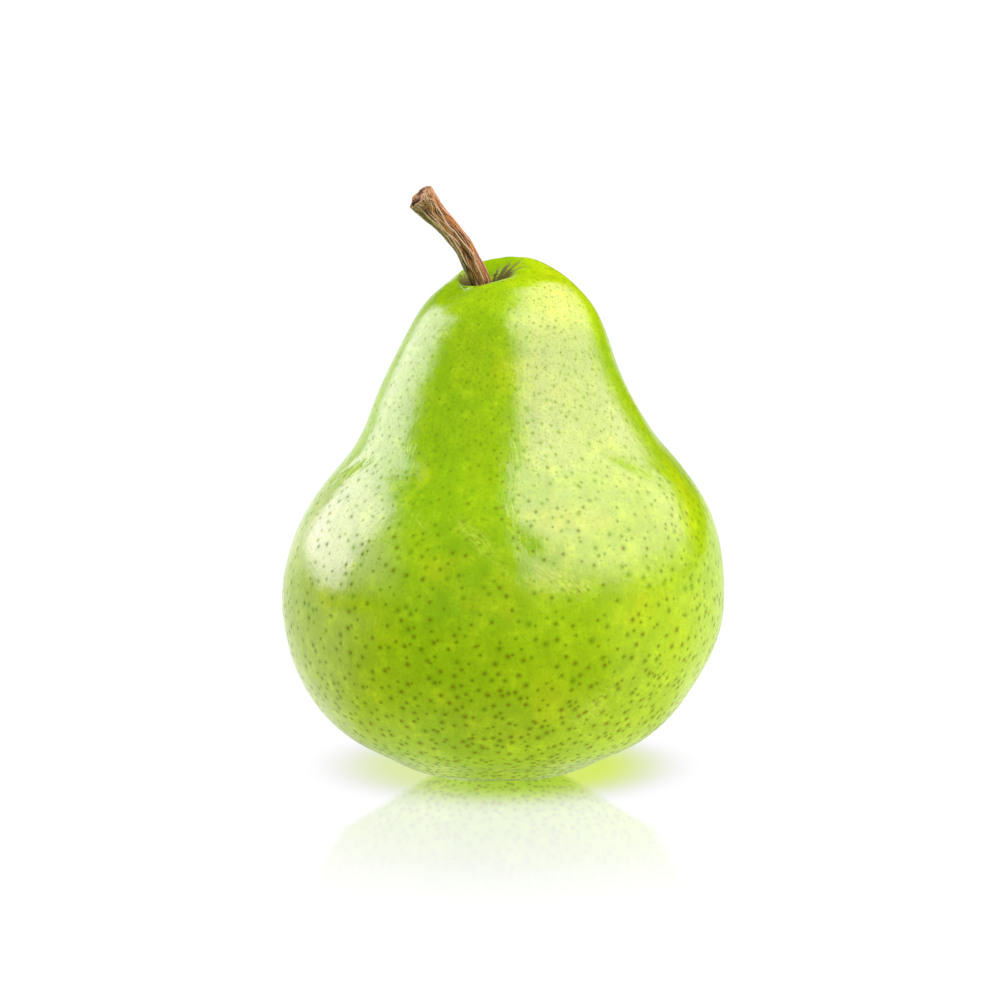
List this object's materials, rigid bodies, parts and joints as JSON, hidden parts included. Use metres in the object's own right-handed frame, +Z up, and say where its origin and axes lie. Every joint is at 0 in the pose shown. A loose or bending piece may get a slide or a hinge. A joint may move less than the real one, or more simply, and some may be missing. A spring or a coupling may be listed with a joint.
{
  "type": "pear",
  "caption": "Whole fresh green pear with a slanting woody stem in its top hollow and dried sepals in its bottom one; it stands on a small flat foot.",
  "frame": {"origin": "on the surface the pear stands on, under the middle of its bounding box", "axes": "+Z up from the foot to the stem; -Y is the front, the side with the lower lip of the stem hollow; the stem leans towards -X"},
  "size_m": [0.0784, 0.0772, 0.1042],
  "materials": {
    "skin": "gloss",
    "bark": "matte",
    "sepal": "matte",
    "stamens": "matte"
  },
  "bodies": {
    "root": {"fruit": "skin", "stem": "bark", "sepal_1": "sepal", "sepal_2": "sepal", "sepal_3": "sepal", "sepal_4": "sepal", "sepal_5": "sepal", "stamen_tuft": "stamens"}
  },
  "joints": []
}
